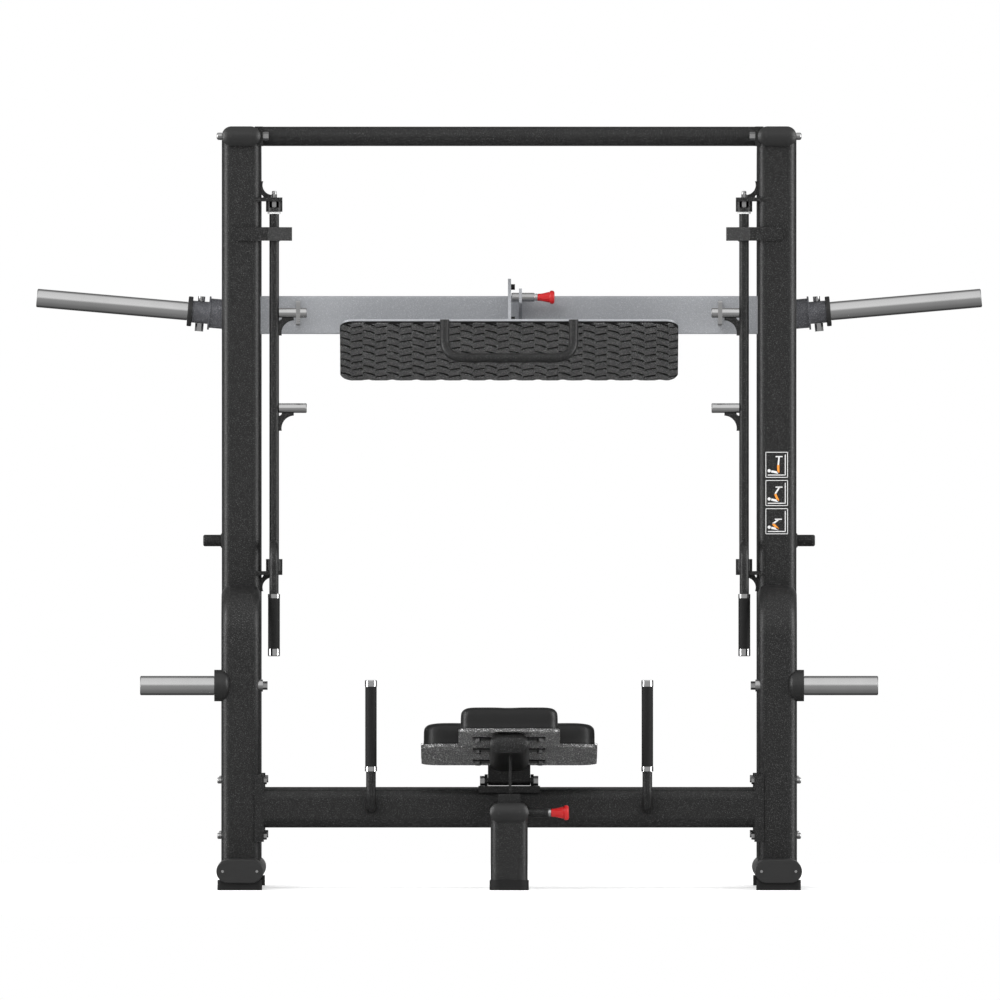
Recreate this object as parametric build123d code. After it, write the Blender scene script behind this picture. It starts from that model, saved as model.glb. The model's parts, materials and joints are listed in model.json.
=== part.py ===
from build123d import *
import math
import os

# Vertical leg press. Millimetres, +Z up, -Y towards the head end of the bench,
# the origin on the floor at the middle of the overall width and depth.

# main frame
side_x = 690.0              # centre of each side frame
tube_wide, tube_deep = 100.0, 50.0
tube_wall = 3.0
rail_wide, rail_tall = 120.0, 60.0
rail_z = 48.0               # centre of the base rails
rail_front, rail_rear = -694.0, 727.1
upright_y, rear_y, leg_y = -64.0, 416.0, -254.0
top_z = 1936.0              # centre of the top side tubes
top_front = -104.0
top_bend = 150.0
knee_z, knee_bend = 755.0, 100.0
beam_z = 206.8              # centre of both crossbeams
flange_inner = 630.6        # inner face of a crossbeam flange
flange_tall = 173.0
cap_thick = 12.0
rail_cap_thick, rail_cap_round = 6.0, 2.5
foot_wide, foot_long, foot_tall = 114.0, 80.0, 26.0

tie_y, tie_dia, tie_end = -14.0, 50.0, 634.0
tie_flange_long = 140.0

# guide rods and travel stops
rod_y, rod_dia = 96.0, 30.0
rod_collar_dia, rod_collar_tall = 52.0, 18.0
peg_z, peg_dia, peg_end = 894.5, 30.0, 789.0
stop_bar_thick, stop_bar_low, stop_bar_high = 10.0, 864.0, 905.0

# bolts: diameter, then head across flats, head height and dome nut height
frame_bolt_dia, bolt_face = 10.0, 50.2      # bolt_face is measured from side_x
flange_bolt_rise, flange_head = 71.2, (16.8, 7.7, 10.0)
tie_bolt_step, tie_head = 50.0, (19.0, 14.5, 12.8)
flange_root = 35.0          # flanges start this far inside side_x
tie_flange_tall = 49.8
rail_screw_step, rail_screw_dia = 44.0, 7.0
storage_bolt_dia, storage_washer_dia, storage_nut = 12.0, 31.0, 19.0
storage_bolt_head, storage_washer_end, storage_nut_end = 57.0, 35.0, 69.0

# plate storage horns
storage_z, storage_dia, storage_tip = 522.0, 50.0, 948.6
storage_root_dia = 48.0     # inside the collar and 1 mm past it
storage_collar_dia, storage_collar_end = 81.0, 758.0
storage_collar_back, storage_collar_round = 719.0, 18.0

# carriage
carriage_z = 1476.0
beam_tall, beam_deep, beam_wall = 98.0, 50.0, 4.0
housing_dia, housing_tall = 76.0, 200.0
bearing_dia, bearing_long = 52.0, 62.0
running_gap = 0.05          # radial clearance of every running fit
horn_z, horn_tilt, horn_dia, horn_tip = 1474.0, 5.0, 48.0, 1218.0
horn_root_dia = 46.0        # inside the sleeve and 1 mm past the stop ring
horn_root, flange_x, flange_dia, flange_thick = 735.0, 771.0, 86.0, 4.5
sleeve_dia, ring_x, ring_end, ring_dia = 57.0, 817.0, 829.0, 77.0
horn_bolt_x, horn_bolt_dia, horn_nut = 796.0, 12.0, 19.0
horn_tip_chamfer, root_relief = 2.0, 1.0
hook_x, hook_thick = 543.5, 10.5
hook_low, hook_high, hook_lip = 1449.0, 1512.0, 13.0

# foot plate
plate_wide, plate_long, plate_thick, tread_thick = 872.0, 345.0, 6.0, 8.0
plate_tilt, plate_front, plate_top = 25.0, -60.0, 1465.0
plate_corner = 35.0
tilt_y, tilt_z = 96.0, 1410.0
tilt_pin_dia, tilt_barrel_dia = 16.0, 28.0
foot_pin_y, foot_pin_z = 0.0, 1521.4
sector_low_x, sector_high_x = -3.0, 5.0
sector_half = 16.0          # half the width of the foot plate's sector arm
foot_stop_angle, foot_bumper_angle = 22.6, 69.85
foot_hole_step, foot_pin_steps = 5.0, 4
foot_sector_low, foot_sector_high, foot_sector_root = 8.0, 78.0, 75.0
foot_stop_dia, foot_bumper_dia, foot_bumper_long = 10.0, 14.7, 10.0
ear_places, ear_thick, ear_dia = (178.0, 262.0), 10.0, 28.0
hinge_pin_start, hinge_pin_long = 172.0, 96.0
barrel_low_x, barrel_high_x, barrel_foot = 183.5, 256.5, 24.0
pin_plate_high, pin_plate_low, pin_plate_base = 1544.0, 1508.0, 1464.0
pin_plate_x, pin_plate_end, pin_plate_ahead = 25.5, 33.0, 15.0
bar_span, bar_ahead, bar_top, bar_drop, bar_dia, bar_bend = 166.0, 11.0, 2.0, 116.0, 24.0, 45.0

# catch levers
lever_x, lever_dia = 605.0, 25.0
lever_low, lever_high = 821.3, 1735.7
lever_bolt_dia, cup_dia = 12.0, 42.5
pin_high, pin_low, pin_tip, pin_dia = 1481.0, 1235.7, 521.3, 25.0
handle_arm, handle_knee_z, handle_bend, handle_dia = 120.0, 883.5, 45.0, 24.0
lever_plate_high, lever_plate_low = 1768.0, 806.0
lever_plate_thick = 10.0
strap_low, strap_tall, strap_thick = 1666.6, 35.0, 8.0
strap_outer, strap_turn, strap_inner, strap_lean = 704.0, 622.6, 563.0, 30.0
cup_high_end, cup_low_end, cup_floor, cup_wall = 1741.3, 847.0, 5.0, 6.5
cup_window_low, cup_window_high, cup_window_wide = 1752.0, 1768.0, 24.0
gusset_wide, gusset_tall, gusset_lip = 27.5, 42.0, 7.0
lever_hex, lever_nut = 12.5, 18.5           # across flats
lever_hex_low, lever_hex_high, lever_dome_high = 1778.0, 1786.0, 1795.0
lever_nut_low, lever_nut_high = 1753.5, 1767.0
lower_hex_low, lower_hex_high = 798.0, 806.0
washer_high, washer_low, washer_thick = 1736.0, 816.3, 5.0
washer_high_dia, washer_low_dia = 34.0, 28.0
grip_low, grip_high, grip_ring_high, grip_cap_low = 616.0, 746.5, 757.0, 597.0
grip_dia, grip_end_dia = 30.5, 31.0

# floor grips
grip_x, grip_y = 355.0, -339.0
stand_dia, stand_bend, stand_weld_dia = 25.0, 45.0, 34.0
stand_ring_low, stand_low, stand_high, stand_cap_high = 302.0, 314.0, 519.7, 536.5
stand_sleeve_dia = 29.6

# bench
pivot_z = 277.0             # the bench turns about (y leg_y, z pivot_z)
bench_slope = 6.2
bench_wide, bench_low, bench_high = 100.0, 24.0, 74.0
bench_head, bench_foot = -472.0, 281.0
pad_under, pad_thick, board_thick, board_inset = 77.0, 65.0, 8.0, 1.5
head_wide, head_front, head_rear = 263.0, -490.3, -110.0
back_wide, back_front, back_rear = 455.0, -106.0, 362.0
cross_wide, cross_long = 186.0, 60.0
cross_places = (-324.0, -37.0, 250.0)
bench_rail_z, bench_rail_front = 198.0, -704.0
post_wide, post_deep, post_y = 95.0, 50.0, -679.0
bench_pin_y = -630.0
bench_sector_low_x, bench_sector_high_x = -1.0, 6.0
bench_sector_half = 18.0
bench_hole_step = 4.0
bench_pin_steps = 5
bench_slot_ahead, bench_slot_behind = 40.0, 34.0
guide_wide, guide_low, guide_high = 57.0, 218.0, 246.0
base_wide, base_long, base_low, base_high = 158.0, 56.0, 247.0, 264.0
pivot_ear_x, pivot_ear_thick, pivot_ear_dia, pivot_dia = 55.0, 8.0, 34.0, 16.0
pivot_head_end, pivot_head = 75.0, 22.0
lug_wide, lug_long, lug_tall, lug_dia = 109.0, 26.0, 40.0, 24.0
head_corner, back_corner, pad_round = 30.0, 50.0, 14.0
pad_bolt_x, pad_bolt_step, pad_bolt_dia, pad_bolt_head = 80.0, 16.0, 8.0, 13.0
bench_sector_low, bench_sector_high = -31.5, 16.0     # degrees about the pivot

# pull pins: barrel start and end, knob start and end, knob slim and wide, barrel diameter
pin_hole_dia, plunger_dia, pin_gap = 10.6, 10.0, 0.4
bench_pin_sizes = (35.0, 100.0, 107.0, 153.0, 21.0, 38.0, 23.7)
foot_pin_sizes = (6.0, 66.0, 73.0, 117.0, 17.7, 34.5, 22.7)

nodes = {}


def oval(wide, deep, wall=0.0):
    if deep > wide:
        return Rot(0, 0, 90) * oval(deep, wide, wall)
    outline = SlotOverall(wide, deep)
    if wall:
        outline -= SlotOverall(wide - 2 * wall, deep - 2 * wall)
    return outline


def length_of(section, start, end, across=(1, 0, 0)):
    # A straight length of a section from one point to another.
    along = Vector(*end) - Vector(*start)
    return extrude(Plane(origin=start, x_dir=across, z_dir=along) * section, along.length)


def rod(start, end, dia):
    along = Vector(*end) - Vector(*start)
    return extrude(Plane(origin=start, z_dir=along) * Circle(dia / 2), along.length)


def block(low, high):
    size = [b - a for a, b in zip(low, high)]
    middle = [(a + b) / 2 for a, b in zip(low, high)]
    return Pos(*middle) * Box(*size)


def bent(section, corners, radius, across=(1, 0, 0)):
    # A section swept along straight runs with one bend radius.
    path = FilletPolyline(*corners, radius=radius)
    start = Plane(origin=path @ 0, x_dir=across, z_dir=path % 0)
    return sweep(start * section, path=path)


def profile(points, x_low, x_high):
    # A plate with its outline in (Y, Z), between two X positions.
    outline = make_face(Polyline(*points, close=True))
    return extrude(Plane(origin=(x_low, 0, 0), x_dir=(0, 1, 0), z_dir=(1, 0, 0)) * outline,
                   x_high - x_low)


def front_plate(outline, y_front, thick):
    # A sketch drawn in (X, Z), made into a plate behind y_front.
    face = Plane(origin=(0, y_front, 0), x_dir=(1, 0, 0), z_dir=(0, -1, 0)) * outline
    return extrude(face, -thick)


def hexagon(start, end, flats):
    along = Vector(*end) - Vector(*start)
    section = RegularPolygon(flats / 2, 6, major_radius=False)
    bolt = extrude(Plane(origin=start, z_dir=along) * section, along.length)
    return bolt


def both(piece):
    # The piece on the +X side and its mirror image.
    return [piece, mirror(piece, Plane.YZ)]


def solids_of(piece):
    if isinstance(piece, (list, tuple)):
        return [solid for item in piece for solid in solids_of(item)]
    return list(piece.solids())


def add(name, *pieces):
    nodes[name] = solids_of(pieces)


def flat_cap(wide, deep, thick, edge):
    # A flat cap for an oval tube, its flat back on the XY plane.
    cap = extrude(SlotOverall(wide, deep), thick)
    return fillet(cap.faces().sort_by(Axis.Z)[-1].edges(), edge)


def domed_cap(wide, deep):
    # A dome that rises cap_thick over an oval tube, its flat back on the XY plane.
    reach = ((deep / 2) ** 2 + cap_thick ** 2) / (2 * cap_thick)
    centre, middle = (wide - deep) / 2, cap_thick - reach
    dome = rod((-centre, 0, middle), (centre, 0, middle), 2 * reach)
    for x in (-centre, centre):
        dome += Pos(x, 0, middle) * Sphere(reach)
    return dome & block((-wide, -deep, 0), (wide, deep, cap_thick))


# ---- side frames -----------------------------------------------------------

def rail_line(section):
    return length_of(section, (side_x, rail_front, rail_z), (side_x, rail_rear, rail_z))


def upright_line(section):
    return length_of(section, (side_x, upright_y, rail_z), (side_x, upright_y, top_z))


def rear_line(section):
    corners = [(side_x, top_front, top_z), (side_x, rear_y, top_z), (side_x, rear_y, rail_z)]
    return bent(section, corners, top_bend)


def leg_line(section):
    corners = [(side_x, leg_y, rail_z), (side_x, leg_y, knee_z), (side_x, upright_y, knee_z)]
    return bent(section, corners, knee_bend)


rail_solid = rail_line(oval(rail_wide, rail_tall))
upright_solid = upright_line(oval(tube_wide, tube_deep))
rear_solid = rear_line(oval(tube_wide, tube_deep))
leg_solid = leg_line(oval(tube_wide, tube_deep))
frame_oval = oval(tube_wide, tube_deep, tube_wall)


def crossbeam_line(y, end, section):
    return length_of(section, (-end, y, beam_z), (end, y, beam_z), across=(0, 1, 0))


def crossbeam(y, side_solid):
    # An oval tube with a flange at each end, shaped to the side tube it bolts against.
    tube = crossbeam_line(y, flange_inner, oval(tube_deep, tube_wide, tube_wall))
    low, high = beam_z - flange_tall / 2, beam_z + flange_tall / 2
    flange = block((flange_inner, y - tube_deep / 2, low),
                   (side_x - flange_root, y + tube_deep / 2, high))
    tube += both(flange - side_solid)
    for bolt in side_bolts:
        tube -= both(bolt)
    return tube


def through_bolt(inner, y, z, head):
    # A bolt along X with a hexagon head inside and a dome nut outside.
    head_flats, inner_tall, outer_tall = head
    outer = side_x + bolt_face
    shank = rod((inner, y, z), (outer, y, z), frame_bolt_dia)
    head = hexagon((inner - inner_tall, y, z), (inner, y, z), head_flats)
    nut = rod((outer, y, z), (outer + outer_tall, y, z), head_flats * 0.95)
    nut = fillet(nut.edges().sort_by(Axis.X)[-1], outer_tall * 0.35)
    return shank + head + nut


def frame_bolts():
    bolts = []
    for z in (beam_z - flange_bolt_rise, beam_z + flange_bolt_rise):
        for y in (leg_y, rear_y):
            bolts.append(through_bolt(flange_inner, y, z, flange_head))
    for y in (tie_y - tie_bolt_step, tie_y + tie_bolt_step):
        bolts.append(through_bolt(tie_end, y, top_z, tie_head))
    return bolts


side_bolts = frame_bolts()


def top_tie_bar():
    bar = rod((-tie_end, tie_y, top_z), (tie_end, tie_y, top_z), tie_dia)
    bar -= rod((-tie_end, tie_y, top_z), (tie_end, tie_y, top_z), tie_dia - 2 * tube_wall)
    low = (tie_end, tie_y - tie_flange_long / 2, top_z - tie_flange_tall / 2)
    high = (side_x - flange_root, tie_y + tie_flange_long / 2, top_z + tie_flange_tall / 2)
    bar += both(block(low, high) - rear_solid - upright_solid)
    for bolt in side_bolts:
        bar -= both(bolt)
    return bar


def side_frames():
    rail = rail_line(oval(rail_wide, rail_tall, tube_wall))
    upright = upright_line(frame_oval) - rail_solid - rear_solid
    leg = leg_line(frame_oval) - rail_solid - upright_solid
    rear = rear_line(frame_oval) - rail_solid
    storage_hole = rod((lever_x, leg_y, storage_z), (storage_collar_end, leg_y, storage_z),
                       storage_bolt_dia)
    for bolt in side_bolts:
        leg -= bolt
        rear -= bolt
        upright -= bolt
    add("base_rails", both(rail))
    add("front_uprights", both(upright))
    add("front_legs", both(leg - storage_hole))
    add("rear_uprights", both(rear))


def rail_ends():
    plate = flat_cap(rail_wide, rail_tall, rail_cap_thick, rail_cap_round)
    front = Pos(side_x, rail_front, rail_z) * Rot(90, 0, 0) * plate
    rear = Pos(side_x, rail_rear, rail_z) * Rot(-90, 0, 0) * plate
    screws = []
    for x in (side_x - rail_screw_step, side_x + rail_screw_step):
        screw = rod((x, rail_front + 2, rail_z), (x, rail_front - 8, rail_z), rail_screw_dia)
        screws.append(screw)
        front -= screw
    add("rail_end_plates", both(front), both(rear))
    return screws


def rubber_feet():
    feet = []
    for y in (rail_front + foot_long / 2 + 2, rail_rear - foot_long / 2 - 2):
        low = (side_x - foot_wide / 2, y - foot_long / 2, 0)
        high = (side_x + foot_wide / 2, y + foot_long / 2, foot_tall)
        foot = block(low, high)
        foot = fillet(foot.edges().filter_by(Axis.Z), 8)
        feet += both(foot - rail_solid)
    shoe = extrude(Pos(0, post_y, 0) * SlotOverall(post_wide + 6, post_deep + 6), foot_tall)
    add("rubber_feet", feet, shoe)


def tube_caps():
    cap = domed_cap(tube_wide, tube_deep)
    top = Pos(side_x, top_front, top_z) * Rot(90, 0, 0) * cap
    bench = Pos(0, bench_rail_front, bench_rail_z) * Rot(90, 0, 0) * cap
    add("tube_end_caps", both(top), bench)


def storage_horns():
    leg_side = side_x + tube_wide / 2
    collar = rod((storage_collar_back, leg_y, storage_z), (storage_collar_end, leg_y, storage_z),
                 storage_collar_dia)
    collar = fillet(collar.edges().filter_by(GeomType.CIRCLE).sort_by(Axis.X)[0],
                    storage_collar_round)
    free_x = storage_collar_end + root_relief
    horn = rod((free_x, leg_y, storage_z), (storage_tip, leg_y, storage_z), storage_dia)
    horn = chamfer(horn.edges().sort_by(Axis.X)[-1], horn_tip_chamfer)
    horn += rod((leg_side - 2, leg_y, storage_z), (free_x, leg_y, storage_z), storage_root_dia)
    horn -= leg_solid
    head_x = side_x - storage_bolt_head
    shank = rod((head_x + 5, leg_y, storage_z), (leg_side + 20, leg_y, storage_z),
                storage_bolt_dia)
    washer = rod((head_x, leg_y, storage_z), (side_x - storage_washer_end, leg_y, storage_z),
                 storage_washer_dia) - leg_solid
    nut = hexagon((side_x - storage_nut_end, leg_y, storage_z), (head_x, leg_y, storage_z),
                  storage_nut)
    bolt = shank + washer + nut
    add("storage_horns", both(horn - bolt))
    add("storage_collars", both(collar - leg_solid - horn - bolt))
    return bolt


def guide_rods():
    low, high = rail_z + rail_tall / 2, top_z - tube_deep / 2
    add("guide_rods", both(rod((side_x, rod_y, low), (side_x, rod_y, high), rod_dia)))
    collars = []
    for z in (low, high - rod_collar_tall):
        collar = Pos(side_x, rod_y, z + rod_collar_tall / 2) * Cylinder(rod_collar_dia / 2,
                                                                         rod_collar_tall)
        collars.append(collar - rod((side_x, rod_y, z), (side_x, rod_y, z + 20), rod_dia))
    add("rod_collars", [both(collar) for collar in collars])


def travel_stops():
    outer = side_x + tube_wide / 2
    bar = block((outer - stop_bar_thick, upright_y, stop_bar_low), (outer, rear_y, stop_bar_high))
    bar = bar - upright_solid - rear_solid
    peg = rod((outer, rod_y, peg_z), (peg_end, rod_y, peg_z), peg_dia)
    peg = fillet(peg.edges().sort_by(Axis.X)[-1], 5)
    add("stop_rails", both(bar), both(peg))


# ---- lever brackets on the frame -------------------------------------------

def corner_gusset(corner_x, corner_z, wide, tall, y, thick=8.0):
    # A thin corner plate with a hollow curved edge; wide and tall carry the direction.
    edge = Line((corner_x, corner_z + tall), (corner_x, corner_z))
    edge += Line((corner_x, corner_z), (corner_x + wide, corner_z))
    tip = (corner_x + wide, corner_z + math.copysign(gusset_lip, tall))
    top = (corner_x + math.copysign(gusset_lip, wide), corner_z + tall)
    edge += Line((corner_x + wide, corner_z), tip)
    middle = (corner_x + wide * 0.42, corner_z + tall * 0.36)
    edge += ThreePointArc(tip, middle, top)
    edge += Line(top, (corner_x, corner_z + tall))
    plate = front_plate(make_face(edge), y - thick / 2, thick)
    hole = rod((corner_x, y - thick, corner_z), (corner_x, y + thick, corner_z), 14)
    return plate - hole


def lever_brackets():
    # Each bracket is a plate, a gusset and a cup that holds one end of a lever.
    inner = side_x - tube_wide / 2
    front, rear = upright_y - tube_deep / 2, upright_y + tube_deep / 2
    brackets, bolts, washers = [], [], []
    bolt_hole = rod((lever_x, upright_y, lever_plate_low - 100),
                    (lever_x, upright_y, lever_plate_high + 100), lever_bolt_dia)
    for plate_z, up in ((lever_plate_high, 1), (lever_plate_low, -1)):
        plate = block((lever_x - 21, front, plate_z), (side_x - 26, rear, plate_z + lever_plate_thick))
        face_z = plate_z + (lever_plate_thick if up > 0 else 0)
        tip_z = face_z + up * gusset_tall
        gusset = corner_gusset(inner, face_z, -gusset_wide, up * gusset_tall, upright_y)
        foot = block((inner - 1, upright_y - 4, min(face_z, tip_z)),
                     (inner + 4, upright_y + 4, max(face_z, tip_z)))
        plate = plate + gusset + foot
        if up > 0:
            cup_low, cup_high = cup_high_end, plate_z
        else:
            cup_low, cup_high = plate_z + lever_plate_thick, cup_low_end
        cup = rod((lever_x, upright_y, cup_low), (lever_x, upright_y, cup_high), cup_dia)
        cup -= rod((lever_x, upright_y, cup_low + (cup_floor if up > 0 else 0)),
                   (lever_x, upright_y, cup_high), cup_dia - 2 * cup_wall)
        if up > 0:
            cup -= block((lever_x - cup_window_wide / 2, front - 5, cup_window_low),
                         (lever_x + cup_window_wide / 2, upright_y, cup_window_high))
        brackets += both(plate + cup - upright_solid - bolt_hole)
    upper = rod((lever_x, upright_y, lever_high - 20),
                (lever_x, upright_y, lever_hex_low + 2), lever_bolt_dia)
    upper += hexagon((lever_x, upright_y, lever_hex_low), (lever_x, upright_y, lever_hex_high),
                     lever_hex)
    dome = rod((lever_x, upright_y, lever_hex_high), (lever_x, upright_y, lever_dome_high),
               lever_bolt_dia)
    upper += fillet(dome.edges().sort_by(Axis.Z)[-1], 3)
    upper += hexagon((lever_x, upright_y, lever_nut_low), (lever_x, upright_y, lever_nut_high),
                     lever_nut)
    lower = rod((lever_x, upright_y, lower_hex_low + 2), (lever_x, upright_y, lever_low + 20),
                lever_bolt_dia)
    lower += hexagon((lever_x, upright_y, lower_hex_low), (lever_x, upright_y, lower_hex_high),
                     lever_hex)
    bolts += [upper, lower]
    for z, dia in ((washer_high, washer_high_dia), (washer_low, washer_low_dia)):
        washer = rod((lever_x, upright_y, z), (lever_x, upright_y, z + washer_thick), dia)
        washers += both(washer - bolt_hole)
    add("lever_brackets", brackets)
    add("lever_washers", washers)
    return bolts


# ---- floor grips -----------------------------------------------------------

def floor_grips():
    corners = [(grip_x, leg_y - 10, beam_z), (grip_x, grip_y, beam_z), (grip_x, grip_y, stand_high + 2.3)]
    tube = bent(Circle(stand_dia / 2), corners, stand_bend)
    beam = crossbeam_line(leg_y, flange_inner, oval(tube_deep, tube_wide))
    weld = rod((grip_x, leg_y - 24, beam_z), (grip_x, leg_y - 31, beam_z), stand_weld_dia)
    tube = tube + weld - beam
    sleeve = rod((grip_x, grip_y, stand_low), (grip_x, grip_y, stand_high), stand_sleeve_dia)
    ring = rod((grip_x, grip_y, stand_ring_low), (grip_x, grip_y, stand_low), grip_end_dia)
    cap = rod((grip_x, grip_y, stand_high), (grip_x, grip_y, stand_cap_high), grip_end_dia)
    cap = fillet(cap.edges().sort_by(Axis.Z)[-1], 2.5)
    add("floor_grip_tubes", both(tube))
    add("floor_grip_sleeves", both(sleeve - tube))
    add("floor_grip_ends", both(ring - tube), both(cap - tube))


# ---- bench support on the frame ----------------------------------------------

def ring_slice(y, z, inner, outer, low_angle, high_angle):
    # Part of a ring about (y, z); angles are measured up from the -Y direction.
    low, high = math.radians(low_angle), math.radians(high_angle)
    middle = (low + high) / 2

    def at(r, a):
        return (y - r * math.cos(a), z + r * math.sin(a))

    edge = ThreePointArc(at(outer, low), at(outer, middle), at(outer, high))
    edge += Line(at(outer, high), at(inner, high))
    edge += ThreePointArc(at(inner, high), at(inner, middle), at(inner, low))
    edge += Line(at(inner, low), at(outer, low))
    return make_face(edge)


def side_extrude(outline, x_low, x_high):
    face = Plane(origin=(x_low, 0, 0), x_dir=(0, 1, 0), z_dir=(1, 0, 0)) * outline
    return extrude(face, x_high - x_low)


pin_reach = math.hypot(bench_pin_y - leg_y, bench_rail_z - pivot_z)
pin_angle = math.degrees(math.atan2(bench_rail_z - pivot_z, leg_y - bench_pin_y))
foot_reach = math.hypot(foot_pin_y - tilt_y, foot_pin_z - tilt_z)
foot_angle = math.degrees(math.atan2(foot_pin_z - tilt_z, tilt_y - foot_pin_y))


def pull_pin(y, z, nose_x, sizes):
    # A spring plunger: a threaded barrel, a steel plunger and a flared plastic knob.
    barrel_low, barrel_high, knob_low, knob_high, slim, wide, barrel_dia = sizes
    barrel = rod((barrel_low, y, z), (barrel_high, y, z), barrel_dia)
    barrel = chamfer(barrel.edges().filter_by(GeomType.CIRCLE), 1.5)
    barrel -= rod((barrel_low - 1, y, z), (barrel_high + 1, y, z),
                  plunger_dia + 2 * running_gap)
    plunger = rod((nose_x, y, z), (knob_low + 12, y, z), plunger_dia)
    plunger = chamfer(plunger.edges().sort_by(Axis.X)[0], 1.5)
    plunger += rod((knob_low - 6, y, z), (knob_low, y, z), slim + 1)
    span = knob_high - knob_low
    outline = Polyline((knob_high - 4, 0), (knob_low, 0), (knob_low, slim / 2))
    flare = Spline((knob_low, slim / 2), (knob_low + span * 0.55, slim / 2 * 1.15),
                   (knob_high - 8, wide / 2 - 1))
    rim = ThreePointArc((knob_high - 8, wide / 2 - 1), (knob_high - 2, wide / 2 - 0.6),
                        (knob_high, wide / 2 - 5))
    back = Polyline((knob_high, wide / 2 - 5), (knob_high - 4, 0))
    face = make_face(outline + flare + rim + back)
    knob = Pos(0, y, z) * revolve(face, Axis.X)
    return barrel, plunger, knob - plunger


def bench_support():
    inner_rail = length_of(oval(tube_wide, tube_deep, tube_wall),
                           (0, leg_y, bench_rail_z), (0, bench_rail_front, bench_rail_z))
    beam = crossbeam_line(leg_y, flange_inner, oval(tube_deep, tube_wide))
    slot_low, slot_high = bench_pin_y - bench_slot_ahead, bench_pin_y + bench_slot_behind
    slot = block((bench_sector_low_x - 2, slot_low, 20), (bench_sector_high_x + 2, slot_high, 260))
    pin_hole = rod((20, bench_pin_y, bench_rail_z), (60, bench_pin_y, bench_rail_z), 16)
    rail = inner_rail - beam - slot - pin_hole
    rail_body = length_of(oval(tube_wide, tube_deep), (0, leg_y, bench_rail_z),
                          (0, bench_rail_front, bench_rail_z))
    post = extrude(Pos(0, post_y, foot_tall) * oval(post_wide, post_deep, tube_wall),
                   bench_rail_z - foot_tall) - rail_body
    guide = block((-guide_wide / 2, slot_low - 8, guide_low),
                  (guide_wide / 2, slot_high + 8, guide_high)) - rail_body - slot
    add("bench_rail", rail, guide)
    add("bench_post", post)

    base = block((-base_wide / 2, leg_y - base_long / 2, base_low),
                 (base_wide / 2, leg_y + base_long / 2, base_high)) - beam
    ear_outline = make_face(Polyline(
        (leg_y - base_long / 2, base_high - 2), (leg_y + base_long / 2, base_high - 2),
        (leg_y + base_long / 4, pivot_z), (leg_y - base_long / 4, pivot_z), close=True))
    ear_end = pivot_ear_x + pivot_ear_thick
    ear = side_extrude(ear_outline, pivot_ear_x, ear_end)
    ear += rod((pivot_ear_x, leg_y, pivot_z), (ear_end, leg_y, pivot_z), pivot_ear_dia)
    ear -= rod((pivot_ear_x - 5, leg_y, pivot_z), (ear_end + 7, leg_y, pivot_z), pivot_dia)
    ears = both(ear)
    bracket = base + ears
    add("bench_pivot_bracket", bracket - beam)
    bolt = rod((-ear_end - 3, leg_y, pivot_z), (ear_end + 3, leg_y, pivot_z), pivot_dia)
    for low, high in ((ear_end, pivot_head_end), (-pivot_head_end, -ear_end)):
        bolt += hexagon((low, leg_y, pivot_z), (high, leg_y, pivot_z), pivot_head)
    barrel, plunger, knob = pull_pin(bench_pin_y, bench_rail_z, bench_sector_high_x + pin_gap,
                                     bench_pin_sizes)
    add("bench_pin_barrel", barrel - rail_body)
    add("bench_pin_plunger", plunger)
    add("bench_pin_knob", knob)
    return bolt


# ---- carriage ----------------------------------------------------------------

tilt = math.radians(horn_tilt)


def on_horn(x):
    # The point of the horn's axis at a distance x from the middle of the machine.
    return (x, rod_y, horn_z + (x - side_x) * math.tan(tilt))


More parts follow.
